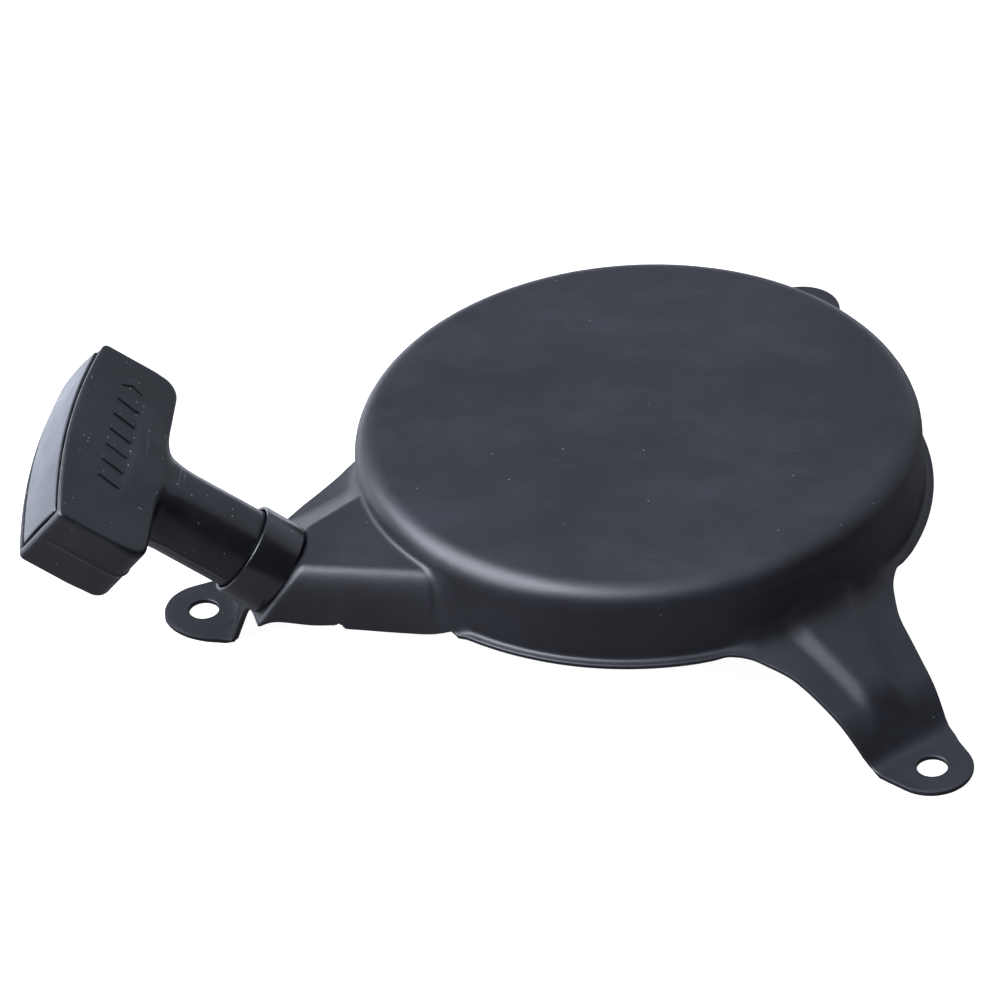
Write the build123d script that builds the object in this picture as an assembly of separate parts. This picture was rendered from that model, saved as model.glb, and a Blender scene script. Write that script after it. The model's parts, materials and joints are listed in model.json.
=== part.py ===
from build123d import *
import os
from math import atan2, cos, degrees, hypot, pi, radians, sin, sqrt, tan

# Recoil (pull) starter for a small engine: a stamped cover with three bolt ears, and in it a rope
# reel with its recoil spring, two pawls and a friction plate. The rope leaves through a slanted
# guide collar to a T-handle. Millimetres, +Z up, origin on the centre of the bolt circle in the
# plane of the ears' undersides. The rope's outlet points to -X in plan.

# ---------------------------------------------------------------- driving dimensions
SHEET = 1.25                      # thickness of the stamped sheet
CUP_R = 66.0                      # outside of the cup just under its top fillet
CUP_TOP = 40.8
CUP_FILLET = 5.8
CUP_DRAFT = 0.5                   # draft of the wall over its height
LIP_R = 68.4
LIP_TOP = 21.4
LIP_BOTTOM = 20.4
EAR_CIRCLE_R = 104.5
EAR_ANGLES = (-48.0, 72.0, 192.0)
EAR_HOLE_R = 3.5                  # clearance for M6
FOOT_R = 9.3

ARM_SLOPE = tan(radians(30))
ARM_FLANGE_Z = 22.4               # top of the arm's flange where it leaves the cup wall
ARM_SHOULDER_R = 67.4             # where it starts to slope down
ARM_RIB_RISE = 2.0                # height of the pressed rib over the flange
ARM_RIB_START_HALF = 8.0
ARM_RIB_END_HALF = 4.0
ARM_KNEE_R = 87.0                 # where the slope turns down to the foot
ARM_TOE_R = 96.7                  # where the foot becomes flat
ARM_ROOT_R = 58.0                 # inside the wall
# half width of an arm at a few radii, from the lip out to the foot
ARM_OUTLINE = ((66.0, 24.0), (70.0, 19.5), (75.0, 16.2), (86.8, 13.4), (93.8, 12.1), (99.4, 9.8))

GUIDE_TILT = 37.7                 # the outlet axis rises this much above the horizontal
GUIDE_BASE = (-80.6, -39.2, 26.6)
GUIDE_R = 11.1
GUIDE_LENGTH = 10.1
GUIDE_FLOOR = 3.0
GUIDE_MOUTH_R = 10.2
SPIGOT_R = 7.0
SPIGOT_LENGTH = 3.2
EYELET_R = 4.0
EYELET_BORE_R = 2.3

TOWER_TOP = 34.4
TOWER_SKIRT = 20.4

ROPE_R = 1.75
ROPE_LINE_Z = 22.6                # height of the rope's straight run from the reel to the guide
ROPE_BEND_R = 10.0
ROPE_WIND_R = -GUIDE_BASE[1]      # the run lies on a tangent of this radius
ROPE_START_X = -18.0

HANDLE_ROLL = 9.4                 # turn of the T-bar about the outlet axis
STEM_START = 4.2                  # distances along the outlet axis from the collar's base
STEM_R = 9.9
BAR_START = 36.0
BAR_END = 58.5
BAR_CROWN = 3.0
BAR_HALF_LENGTH = 27.6
BAR_HALF_THICK = 9.5
BAR_ROUND = 6.5
CAP_INSET = 2.0
CAP_DEPTH = 2.6
CAP_GAP = 0.25
KNOT_SEAT = 44.0
KNOT_CAVITY_R = 6.8
KNOT_R = 4.6

POST_R = 7.0
POST_ARBOR_R = 9.0
POST_STUB_R = 5.0
POST_SHOULDER_Z = 16.3
POST_END_Z = 9.2
ARBOR_BOTTOM_Z = 29.4
POST_FLANGE_R = 15.0
POST_FLANGE_T = 1.5
BOLT_R = 3.0
BOLT_HOLE_R = 3.05

REEL_BOTTOM = 16.6
REEL_GROOVE_BOTTOM = 19.0
REEL_GROOVE_TOP = 26.2
REEL_FLANGE_TOP = 28.4
REEL_TOP = 37.4
REEL_FLANGE_R = 47.5
ROPE_HUB_R = 33.8
SPRING_WELL_R = 28.6
SPRING_WELL_WALL = 2.0
BUSH_R = 9.0
RUNNING = 0.05                    # radial clearance of a running fit

SPRING_TURNS = 9
SPRING_T = 0.6
SPRING_BOTTOM = 29.8
SPRING_HEIGHT = 6.6
SPRING_FIRST_R = 10.0
SPRING_SLOT_DEPTH = 3.0           # slot in the arbor for the spring's inner end
SPRING_LAST_R = 27.4

PAWL_PIVOT_R = 26.0
PAWL_PIN_R = 2.5
PAWL_BOTTOM = 12.4
PAWL_TOP = 16.2
PAWL_LENGTH = 17.0
PAWL_REST_ANGLE = -104.0
PAWL_SWING = 33.0
PEG_REACH = 7.0
PEG_R = 1.4
PEG_PLAY = 0.6                    # clearance of a peg in its slot, all round
PLATE_BOTTOM = 9.3
PLATE_TOP = 10.8
PLATE_TURN = 28.0
PLATE_R = 17.0
PLATE_LOBE_R = 33.5
PLATE_LOBE_ANGLES = (-4.0, -54.0)

TILT = radians(GUIDE_TILT)
OUT = Vector(-cos(TILT), 0, sin(TILT))           # unit vector along the outlet, outwards
BASE = Vector(*GUIDE_BASE)
FRONT_POINT = Vector(-84.2, -53.3, 21.4)         # on the tower's front wall
FRONT_NORMAL = Vector(-0.064, -0.936, 0.345)
FLANK_POINT = Vector(-63, -21, TOWER_TOP)        # on the tower's rear slope
FLANK_NORMAL = Vector(-0.46, 0.42, 0.78)
END_TOE = Vector(-94.1, 0, SHEET)                # where the end's riser meets the foot
END_RISER = 71.0                                 # its slope
# plan of the tower: front wall, the end face's lower edge, the foot's root, the rear slope
TOWER_PLAN = ((-20, -62), (-84.4, -62), (-84.4, -52), (-87, -43), (-89.2, -36.5), (-91.2, -32.6),
              (-94.5, -32.8), (-97.5, -6.5), (-61.6, 1.2), (-20, -10))
END_FOOT_PLAN = ((-93.6, -33.2), (-101, -33.0), (-106.8, -30.2), (-110.6, -25.4), (-103, -20), (-93.6, -20))


# ---------------------------------------------------------------- small helpers
def standing(radius, height):
    """Cylinder on the XY plane."""
    return Cylinder(radius, height, align=(Align.CENTER, Align.CENTER, Align.MIN))


def rod(radius, z_low, z_high, at=(0, 0)):
    """Upright cylinder between two heights."""
    return Pos(at[0], at[1], z_low) * standing(radius, z_high - z_low)


def ring(r_out, r_in, z_low, z_high, at=(0, 0)):
    """Upright tube between two heights."""
    return rod(r_out, z_low, z_high, at) - rod(r_in, z_low - 1, z_high + 1, at)


def block(x_low, x_high, y_low, y_high, z_low, z_high):
    """Axis-aligned box between its corners."""
    middle = ((x_low + x_high) / 2, (y_low + y_high) / 2, (z_low + z_high) / 2)
    return Pos(*middle) * Box(x_high - x_low, y_high - y_low, z_high - z_low)


def outlet_plane(s, roll=0.0):
    """Plane square to the outlet axis, s mm outwards of the collar's base."""
    up = Vector(sin(TILT), 0, cos(TILT))
    x_dir = up * cos(radians(roll)) - Vector(0, 1, 0) * sin(radians(roll))
    return Plane(origin=BASE + OUT * s, x_dir=x_dir, z_dir=OUT)


def outlet_rod(radius, s_low, s_high):
    """Cylinder about the outlet axis."""
    return outlet_plane(s_low) * standing(radius, s_high - s_low)


def outlet_ring(r_out, r_in, s_low, s_high):
    return outlet_rod(r_out, s_low, s_high) - outlet_rod(r_in, s_low - 1, s_high + 1)


def below(solid, point, normal):
    """The part of a solid behind a plane."""
    return split(solid, bisect_by=Plane(origin=point, z_dir=normal), keep=Keep.BOTTOM)


def revolved(profile):
    """Solid of revolution about Z from a face drawn as (radius, height)."""
    return revolve(Plane.XZ * profile, axis=Axis.Z)


def polygon(points):
    """Plain face from (x, y) points."""
    return make_face(Polyline(*points, close=True))


# ---------------------------------------------------------------- stamped cover
def cup_body(inset):
    """Everything under the cup's outer surface moved in by inset."""
    r_wall = CUP_R - inset
    top = CUP_TOP - inset
    round_r = CUP_FILLET - inset
    turn = CUP_TOP - CUP_FILLET
    flare = LIP_TOP + 2.8
    bottom = LIP_BOTTOM if inset == 0 else -1.0
    lip_z = LIP_TOP if inset == 0 else LIP_BOTTOM
    lip_r = LIP_R - inset
    flare_r = r_wall + CUP_DRAFT
    round_mid = (r_wall - round_r + round_r * sin(pi / 4), turn + round_r * sin(pi / 4))
    flare_mid = (flare_r + 0.3 * (lip_r - flare_r), lip_z + 0.38 * (flare - lip_z))
    outline = [
        Polyline((lip_r, lip_z), (lip_r, bottom), (0, bottom), (0, top), (r_wall - round_r, top)),
        ThreePointArc((r_wall - round_r, top), round_mid, (r_wall, turn)),
        Line((r_wall, turn), (flare_r, flare)),
        ThreePointArc((flare_r, flare), flare_mid, (lip_r, lip_z)),
    ]
    return revolved(make_face(outline))


def arm_place(angle):
    """Local frame of an ear: x outwards along the radius, y across it."""
    return Rot(0, 0, angle)


def arm_profile(raised, depth):
    """Side view of an arm as (radius, height), from its top surface down to a depth under it."""
    start = ARM_FLANGE_Z + raised
    knee = start - ARM_SLOPE * (ARM_KNEE_R - ARM_SHOULDER_R)
    tip = EAR_CIRCLE_R + FOOT_R + 1
    top = [(ARM_ROOT_R, start), (ARM_SHOULDER_R, start), (ARM_KNEE_R, knee)]
    top = top + [(ARM_TOE_R, SHEET), (tip, SHEET)]
    low = [(r, z - depth) for r, z in reversed(top)]
    return polygon(top + low)


def across(profile, half_width):
    """Prism of a side view, across an arm."""
    return extrude(Plane.XZ * profile, half_width, both=True)


def arm_outline():
    """Plan of an arm, from inside the lip to the round end of its foot."""
    root = (ARM_ROOT_R, ARM_OUTLINE[0][1])
    foot_start = (EAR_CIRCLE_R, FOOT_R)
    left = [root, *ARM_OUTLINE, foot_start]
    right = [(r, -w) for r, w in reversed(left)]
    edges = [
        Polyline(*left),
        ThreePointArc(foot_start, (EAR_CIRCLE_R + FOOT_R, 0), (EAR_CIRCLE_R, -FOOT_R)),
        Polyline(*right),
        Line(right[-1], left[0]),
    ]
    return make_face(edges)


def rib_body(inset):
    """Wedge under the raised rib, drawn in by inset."""
    start_half = ARM_RIB_START_HALF - inset
    end_half = ARM_RIB_END_HALF - inset
    toe = ARM_KNEE_R + 2 - inset
    left = [(ARM_ROOT_R, start_half), (toe, end_half)]
    right = [(r, -w) for r, w in reversed(left)]
    prism = extrude(polygon(left + right), 40)
    side = arm_profile(ARM_RIB_RISE, 9)
    if inset:
        side = Pos(0, -inset) * side
    return prism & across(side, 30)


def arm_sheet():
    """One bent arm with its foot, still without its bolt hole."""
    flange = across(arm_profile(0, SHEET), 40) & extrude(arm_outline(), 60)
    over_flange = across(arm_profile(0, 20), 40)
    rib = rib_body(0) - over_flange
    under_rib = rib_body(SHEET)
    foot_space = block(ARM_KNEE_R + 1.5, 130, -30, 30, -1, 60)
    return (flange + rib) - (under_rib - foot_space)


def tower_body(inset):
    """Solid under the tower's outer planes, each moved in by inset."""
    if inset == 0:
        plan = polygon(TOWER_PLAN)
    else:
        plan = polygon([(-20, -60.7), (-100, -60.7), (-100, -3), (-61, 4), (-20, -10)])
    low = -1 if inset else 0
    body = Pos(0, 0, low) * extrude(plan, TOWER_TOP - inset - low)
    riser = Vector(-sin(radians(END_RISER)), 0, cos(radians(END_RISER)))
    faces = ((FRONT_POINT, FRONT_NORMAL), (BASE, OUT), (FLANK_POINT, FLANK_NORMAL), (END_TOE, riser))
    for point, normal in faces:
        normal = normal.normalized()
        body = below(body, point - normal * inset, normal)
    return body


def end_foot():
    """The wider part of the foot under the outlet, towards the rope's side."""
    return extrude(polygon(END_FOOT_PLAN), SHEET)


def housing():
    """The stamped cover: cup, tower for the rope outlet and three bolt ears."""
    tower = tower_body(0)
    inside = tower_body(SHEET)
    under_front = block(-92, -20, -64, -46, -2, TOWER_SKIRT) - block(-92, -84.3, -51.9, -40, -2, 30)
    outlet_arm = arm_place(EAR_ANGLES[2])
    under_flange = Pos(0, 0, -SHEET) * across(arm_profile(0, 40), 4.9)
    under_flange = outlet_arm * Pos(0, -11.2, 0) * under_flange
    shell = cup_body(0) + (tower - inside - under_front - under_flange)
    for angle in EAR_ANGLES:
        shell = shell + arm_place(angle) * arm_sheet()
    shell = shell - cup_body(SHEET) - inside + end_foot()
    for angle in EAR_ANGLES:
        shell = shell - arm_place(angle) * rod(EAR_HOLE_R, -1, 5, (EAR_CIRCLE_R, 0))
    return shell - outlet_rod(SPIGOT_R, -4, 2)


# ---------------------------------------------------------------- outlet guide, in the cover
def rope_guide():
    """Moulded collar that the rope leaves through and the handle's stem rests in."""
    body = outlet_rod(GUIDE_R, 0, GUIDE_LENGTH)
    body = body - outlet_rod(GUIDE_MOUTH_R, GUIDE_FLOOR, GUIDE_LENGTH + 1)
    body = fillet(body.edges().filter_by(GeomType.CIRCLE).sort_by(SortBy.RADIUS)[-2:], 0.4)
    body = body + outlet_rod(SPIGOT_R, -SPIGOT_LENGTH, 0.5)
    return body - outlet_rod(EYELET_R, -SPIGOT_LENGTH - 1, GUIDE_FLOOR + 1)


def guide_eyelet():
    """Hard liner that the rope runs over, with its flange on the collar's floor."""
    sleeve = outlet_ring(EYELET_R, EYELET_BORE_R, -SPIGOT_LENGTH, GUIDE_FLOOR)
    return sleeve + outlet_ring(6.0, EYELET_BORE_R, GUIDE_FLOOR, GUIDE_FLOOR + 0.6)


def guide_retainer():
    """Push-on ring behind the sheet, with spring teeth cut by slots."""
    body = outlet_ring(9.2, SPIGOT_R, -SHEET - 1.2, -SHEET)
    for i in range(6):
        slot = outlet_plane(-SHEET - 2) * Rot(0, 0, 60 * i) * Pos(7.3, 0, 0) * Box(1.6, 0.9, 6)
        body = body - slot
    return body


# ---------------------------------------------------------------- fixed mechanism
def center_post():
    """Steel post spot-welded under the ceiling: flange, spring arbor, reel journal and stub."""
    ceiling = CUP_TOP - SHEET
    body = rod(POST_FLANGE_R, ceiling - POST_FLANGE_T, ceiling)
    body = body + rod(POST_ARBOR_R, ARBOR_BOTTOM_Z, ceiling - 0.5)
    body = body + rod(POST_R, POST_SHOULDER_Z, ARBOR_BOTTOM_Z + 0.5)
    body = body + rod(POST_STUB_R, POST_END_Z, POST_SHOULDER_Z + 0.5)
    half = SPRING_T / 2 + 0.5
    arbor = (ARBOR_BOTTOM_Z + 0.2, ceiling - POST_FLANGE_T)
    slot = block(POST_ARBOR_R - SPRING_SLOT_DEPTH, POST_ARBOR_R + 1, -half, half, *arbor)
    return body - slot - rod(BOLT_HOLE_R, POST_END_Z - 1, 30)


def center_bolt():
    """Hexagon flange bolt up the middle of the post."""
    head = extrude(Pos(0, 0, POST_END_Z - 5.6) * RegularPolygon(5.0, 6, major_radius=False), 4.6)
    washer_face = rod(6.2, POST_END_Z - 2.2, POST_END_Z - 1.0)
    return head + washer_face + rod(BOLT_R, POST_END_Z - 3, 28)


def bolt_washer():
    return ring(9.0, BOLT_HOLE_R, POST_END_Z - 1.0, POST_END_Z)


def thrust_washer():
    """Keeps the reel on its journal, against the post's shoulder."""
    return ring(10.5, POST_STUB_R, POST_SHOULDER_Z - 1.0, POST_SHOULDER_Z)


def friction_spring():
    """Coil that presses the friction plate on the bolt's washer."""
    low = PLATE_TOP + 0.1
    high = POST_SHOULDER_Z - 1.0
    wire_r = 0.6
    coil_r = POST_STUB_R + 1.4
    pitch = (high - low - 2 * wire_r) / 2.5
    path = Helix(pitch, high - low - 2 * wire_r, coil_r, center=(0, 0, low + wire_r))
    section = Plane(origin=path @ 0, z_dir=path % 0) * Circle(wire_r)
    return sweep(section, path=path)


def spiral(first_r, pitch, turns):
    """Half-turn arcs of a spiral from +X round and round, about two centres half a pitch apart."""
    arcs = []
    for half in range(2 * turns):
        side = 1 - 2 * (half % 2)
        centre = (half % 2) * pitch / 2
        radius = first_r + half * pitch / 2
        start = (centre + side * radius, 0)
        end = (centre - side * radius, 0)
        arcs.append(ThreePointArc(start, (centre, side * radius), end))
    return arcs


def recoil_spring():
    """Flat spiral spring, its inner end in the arbor's slot and its outer end in the reel."""
    pitch = (SPRING_LAST_R - SPRING_FIRST_R) / SPRING_TURNS
    inner = spiral(SPRING_FIRST_R - SPRING_T / 2, pitch, SPRING_TURNS)
    outer = spiral(SPRING_FIRST_R + SPRING_T / 2, pitch, SPRING_TURNS)
    first = Line(inner[0] @ 0, outer[0] @ 0)
    last = Line(inner[-1] @ 1, outer[-1] @ 1)
    plan = make_face([first] + outer + [last] + inner)
    strip = extrude(Pos(0, 0, SPRING_BOTTOM) * plan, SPRING_HEIGHT)
    top = SPRING_BOTTOM + SPRING_HEIGHT
    tab = block(7.0, SPRING_FIRST_R, -SPRING_T / 2, SPRING_T / 2, SPRING_BOTTOM, top)
    hook_x = (last @ 0.5).X
    hook = block(hook_x, hook_x + 2.4, -SPRING_T / 2, SPRING_T / 2, SPRING_BOTTOM, top)
    return strip + tab + hook


# ---------------------------------------------------------------- reel
def reel():
    """Rope reel: groove outside, spring well on top, ribbed web and pawl bosses underneath."""
    well_wall = SPRING_WELL_R + SPRING_WELL_WALL
    profile = polygon([
        (BUSH_R, REEL_BOTTOM), (15, REEL_BOTTOM), (15, 20.6), (19.5, 20.6), (19.5, REEL_BOTTOM),
        (REEL_FLANGE_R, REEL_BOTTOM), (REEL_FLANGE_R, REEL_GROOVE_BOTTOM - 0.6),
        (ROPE_HUB_R, REEL_GROOVE_BOTTOM), (ROPE_HUB_R, REEL_GROOVE_TOP),
        (REEL_FLANGE_R, REEL_GROOVE_TOP + 0.6), (REEL_FLANGE_R, REEL_FLANGE_TOP),
        (well_wall + 1.5, REEL_FLANGE_TOP), (well_wall, REEL_TOP), (SPRING_WELL_R, REEL_TOP),
        (SPRING_WELL_R, ARBOR_BOTTOM_Z - 0.2), (BUSH_R, ARBOR_BOTTOM_Z - 0.2)])
    body = revolved(profile)
    for i in range(8):
        rib = block(14.5, 20, -0.9, 0.9, REEL_BOTTOM, 21)
        body = body + Rot(0, 0, 45 * i + 22.5) * rib
    for i in range(12):
        body = body - Rot(0, 0, 30 * i + 15) * rod(2.6, REEL_BOTTOM - 1, REEL_FLANGE_TOP + 1, (41.5, 0))
    for side in (0, 180):
        body = body - Rot(0, 0, side) * rod(PAWL_PIN_R, REEL_BOTTOM - 1, 22.5, (PAWL_PIVOT_R, 0))
        stop = Rot(0, 0, side - 46) * rod(1.5, PAWL_BOTTOM, REEL_BOTTOM + 1, (24.2, 0))
        body = body + stop
    notch = block(SPRING_WELL_R - 1, SPRING_WELL_R + 1.6, -0.9, 0.9, SPRING_BOTTOM - 0.2, REEL_TOP + 1)
    rope_hole = Rot(0, 0, 60) * Pos(32, 0, 22.6) * Rot(0, 90, 0) * Cylinder(2.1, 9)
    knot_pocket = Rot(0, 0, 60) * rod(4.2, REEL_BOTTOM - 1, 26.5, (27.0, 0))
    return body - notch - rope_hole - knot_pocket


def reel_bush():
    """Plain bearing in the reel, running on the post."""
    return ring(BUSH_R, POST_R + RUNNING, REEL_BOTTOM, ARBOR_BOTTOM_Z - 0.2)


def spring_shield():
    """Thin disc with six holes that keeps the spring in its well."""
    disc = ring(SPRING_WELL_R - 0.1, POST_ARBOR_R + 0.8, REEL_TOP - 0.7, REEL_TOP - 0.1)
    for i in range(6):
        disc = disc - Rot(0, 0, 60 * i + 30) * rod(2.5, 30, 45, (19, 0))
    return disc


def rope_wound():
    """Closed form of the rope's turns in the groove: two rows side by side, two layers deep."""
    low = REEL_GROOVE_BOTTOM + 0.1
    high = REEL_GROOVE_TOP - 0.1
    return ring(ROPE_WIND_R + ROPE_R - 0.1, ROPE_HUB_R + 0.02, low, high)


def reel_rope_knot():
    """Knot that holds the rope's inner end in its pocket of the reel."""
    return Rot(0, 0, 60) * Pos(27.0, 0, 21.6) * Sphere(3.4)


def pawl_pins():
    """Two steel pins that the pawls turn on, each with a head under its pawl."""
    pins = []
    for side in (0, 180):
        at = Rot(0, 0, side)
        pin = rod(PAWL_PIN_R, PAWL_BOTTOM - 0.2, 22.5, (PAWL_PIVOT_R, 0))
        head = rod(3.6, PAWL_BOTTOM - 1.2, PAWL_BOTTOM - 0.2, (PAWL_PIVOT_R, 0))
        pins.append(at * (pin + head))
    return Compound(children=[p.solid() for p in pins])


def pawl_tip(angle, reach):
    """Point at a reach from the pawl's pivot, at an angle from +X."""
    return (PAWL_PIVOT_R + reach * cos(radians(angle)), reach * sin(radians(angle)))


def pawl(side):
    """Hook-ended pawl with a bored eye and a peg that the friction plate moves."""
    tip = pawl_tip(PAWL_REST_ANGLE, PAWL_LENGTH)
    lead = Vector(cos(radians(PAWL_REST_ANGLE)), sin(radians(PAWL_REST_ANGLE)))
    out = Vector(-lead.Y, lead.X)
    pivot = Vector(PAWL_PIVOT_R, 0)
    end = Vector(*tip)
    plan = polygon([
        pivot + out * 4.4, end + out * 3.4, end + lead * 2.2 + out * 1.6, end + lead * 0.6 - out * 1.6,
        pivot - out * 4.4])
    plan = plan + Pos(PAWL_PIVOT_R, 0) * Circle(4.6)
    body = extrude(Pos(0, 0, PAWL_BOTTOM) * plan, PAWL_TOP - PAWL_BOTTOM)
    body = body - rod(PAWL_PIN_R + RUNNING, 0, 30, (PAWL_PIVOT_R, 0))
    body = body + rod(PEG_R, PLATE_BOTTOM, PAWL_BOTTOM + 1, pawl_tip(PAWL_REST_ANGLE, PEG_REACH))
    return Rot(0, 0, side) * body


def pawl_spring(side):
    """Torsion spring between a pawl and the reel, round the pin over the pawl."""
    level = (PAWL_TOP + REEL_BOTTOM) / 2
    low = level - 0.16
    high = level + 0.16
    coil = ring(4.4, 3.1, low, high)
    leg = block(3.2, 9.5, -0.2, 0.2, low, high)
    other = Rot(0, 0, 118) * block(3.2, 8.5, -0.2, 0.2, low, high)
    return Rot(0, 0, side) * Pos(PAWL_PIVOT_R, 0) * (coil + leg + other)


# ---------------------------------------------------------------- friction plate
def peg_in_plate(share):
    """Where the pawl's peg is in the plate's own frame, at a share of the travel."""
    x, y = pawl_tip(PAWL_REST_ANGLE + share * PAWL_SWING, PEG_REACH)
    turn = radians(-PLATE_TURN * share)
    return (x * cos(turn) - y * sin(turn), x * sin(turn) + y * cos(turn))


def friction_plate():
    """Plate that the spring drags: its two slotted lobes push the pawls out as it turns."""
    plan = Circle(PLATE_R)
    far = [(60 * cos(radians(a)), 60 * sin(radians(a))) for a in PLATE_LOBE_ANGLES]
    lobe = Circle(PLATE_LOBE_R) & polygon([(0, 0), *far])
    for side in (0, 180):
        plan = plan + Rot(0, 0, side) * lobe
    steps = [peg_in_plate(i / 6) for i in range(7)]
    for a, b in zip(steps, steps[1:]):
        middle = ((a[0] + b[0]) / 2, (a[1] + b[1]) / 2)
        length = hypot(b[0] - a[0], b[1] - a[1])
        run = degrees(atan2(b[1] - a[1], b[0] - a[0]))
        slot = Pos(*middle) * Rot(0, 0, run) * SlotCenterToCenter(length, 2 * (PEG_R + PEG_PLAY))
        for side in (0, 180):
            plan = plan - Rot(0, 0, side) * slot
    body = extrude(Pos(0, 0, PLATE_BOTTOM) * plan, PLATE_TOP - PLATE_BOTTOM)
    return body - rod(POST_STUB_R + RUNNING, 0, 20)


# ---------------------------------------------------------------- rope and handle
def rope_path():
    """Rope from the reel's tangent, round the bend behind the guide, up the outlet axis."""
    reach = (ROPE_LINE_Z - GUIDE_BASE[2]) / sin(TILT)
    corner = BASE + OUT * reach
    end = BASE + OUT * (KNOT_SEAT + 0.5)
    start = Vector(ROPE_START_X, GUIDE_BASE[1], ROPE_LINE_Z)
    return FilletPolyline(start, corner, end, radius=ROPE_BEND_R)


def rope_lead():
    path = rope_path()
    section = Plane(origin=path @ 0, z_dir=path % 0) * Circle(ROPE_R)
    return sweep(section, path=path)


def crowned_bar(inset, low):
    """T-bar form in the handle's frame: x thickness, y length, z along the outlet axis."""
    half_length = BAR_HALF_LENGTH - inset
    crown_r = (BAR_HALF_LENGTH ** 2 + BAR_CROWN ** 2) / (2 * BAR_CROWN)
    top = BAR_END + BAR_CROWN
    edge = top - crown_r + sqrt(crown_r ** 2 - half_length ** 2)
    side = make_face([
        Polyline((-half_length, edge), (-half_length, low), (half_length, low), (half_length, edge)),
        ThreePointArc((half_length, edge), (0, top), (-half_length, edge)),
    ])
    return extrude(Plane.YZ * side, BAR_HALF_THICK - inset, both=True)


def handle_grip():
    """T-handle: crowned bar with rounded shoulders on a round stem, hollow for the rope's knot."""
    bar = crowned_bar(0, BAR_START)
    bar = fillet(bar.edges().filter_by(Axis.X).group_by(Axis.Z)[0], BAR_ROUND)
    stem = rod(STEM_R, STEM_START, BAR_START + 8) & Pos(0, 0, 30) * Box(2 * BAR_HALF_THICK, 60, 80)
    neck = loft([
        Pos(0, 0, BAR_START - 8) * Circle(STEM_R - 0.45),
        Pos(0, 0, BAR_START + 2) * Ellipse(STEM_R + 6, BAR_HALF_THICK - 0.1, rotation=90)])
    body = bar + stem + neck
    body = body - crowned_bar(CAP_INSET, BAR_END - CAP_DEPTH)
    body = body - rod(EYELET_BORE_R, 0, 70) - rod(KNOT_CAVITY_R, KNOT_SEAT, 70)
    return outlet_plane(0, HANDLE_ROLL) * body


def handle_cap():
    """Crowned insert that closes the knot's cavity."""
    return outlet_plane(0, HANDLE_ROLL) * crowned_bar(CAP_INSET + CAP_GAP, BAR_END - CAP_DEPTH)


def handle_washer():
    return outlet_ring(6.4, EYELET_BORE_R, KNOT_SEAT, KNOT_SEAT + 1.2)


def handle_knot():
    """Stopper knot of the rope on its washer."""
    return outlet_plane(KNOT_SEAT + 1.2 + KNOT_R * 0.92) * Sphere(KNOT_R)


# ---------------------------------------------------------------- all sub-parts
PARTS = {
    "housing": housing,
    "center_post": center_post,
    "center_bolt": center_bolt,
    "bolt_washer": bolt_washer,
    "thrust_washer": thrust_washer,
    "friction_spring": friction_spring,
    "recoil_spring": recoil_spring,
    "rope_guide": rope_guide,
    "guide_eyelet": guide_eyelet,
    "guide_retainer": guide_retainer,
    "rope_lead": rope_lead,
    "reel": reel,
    "reel_bush": reel_bush,
    "spring_shield": spring_shield,
    "rope_wound": rope_wound,
    "reel_rope_knot": reel_rope_knot,
    "pawl_pins": pawl_pins,
    "pawl_spring_1": lambda: pawl_spring(0),
    "pawl_spring_2": lambda: pawl_spring(180),
    "pawl_1": lambda: pawl(0),
    "pawl_2": lambda: pawl(180),
    "friction_plate": friction_plate,
    "handle_grip": handle_grip,
    "handle_cap": handle_cap,
    "handle_washer": handle_washer,
    "handle_knot": handle_knot,
}

os.makedirs("parts", exist_ok=True)
for name, make in PARTS.items():
    export_step(make(), f"parts/{name}.step")
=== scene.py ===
import json
from math import cos, pi, radians, sin

import bpy
import numpy as np
from mathutils import Matrix, Vector


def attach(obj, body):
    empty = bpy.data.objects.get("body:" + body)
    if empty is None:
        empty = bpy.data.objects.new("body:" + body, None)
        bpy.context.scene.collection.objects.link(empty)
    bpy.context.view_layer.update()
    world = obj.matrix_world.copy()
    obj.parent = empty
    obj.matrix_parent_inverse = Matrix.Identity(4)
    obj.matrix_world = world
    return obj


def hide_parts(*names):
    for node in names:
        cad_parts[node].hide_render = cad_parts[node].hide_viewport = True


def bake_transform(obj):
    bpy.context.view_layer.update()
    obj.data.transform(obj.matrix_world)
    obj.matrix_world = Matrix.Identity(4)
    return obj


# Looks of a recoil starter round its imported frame. Shapes are worked out in millimetres in the frame's axes
# and become metres in make_piece. Housing, collar, rope and handle are finer versions of their CAD solids.

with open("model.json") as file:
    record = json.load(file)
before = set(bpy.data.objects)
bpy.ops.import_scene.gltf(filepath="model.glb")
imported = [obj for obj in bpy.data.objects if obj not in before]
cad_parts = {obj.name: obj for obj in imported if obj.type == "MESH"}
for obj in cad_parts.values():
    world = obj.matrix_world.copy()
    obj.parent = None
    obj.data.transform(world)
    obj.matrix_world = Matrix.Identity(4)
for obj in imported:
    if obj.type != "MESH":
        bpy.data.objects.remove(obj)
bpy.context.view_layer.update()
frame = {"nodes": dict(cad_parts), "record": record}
MM = 0.001

# ---------------------------------------------------------------- camera
VIEW_AZIMUTH = 7.37
VIEW_ELEVATION = 37.08
VIEW_ROLL = -4.32
VIEW_DISTANCE = 1515.0
VIEW_AIM = (-32.8, -4.0, 20.0)
LENS = 233.32


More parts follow.
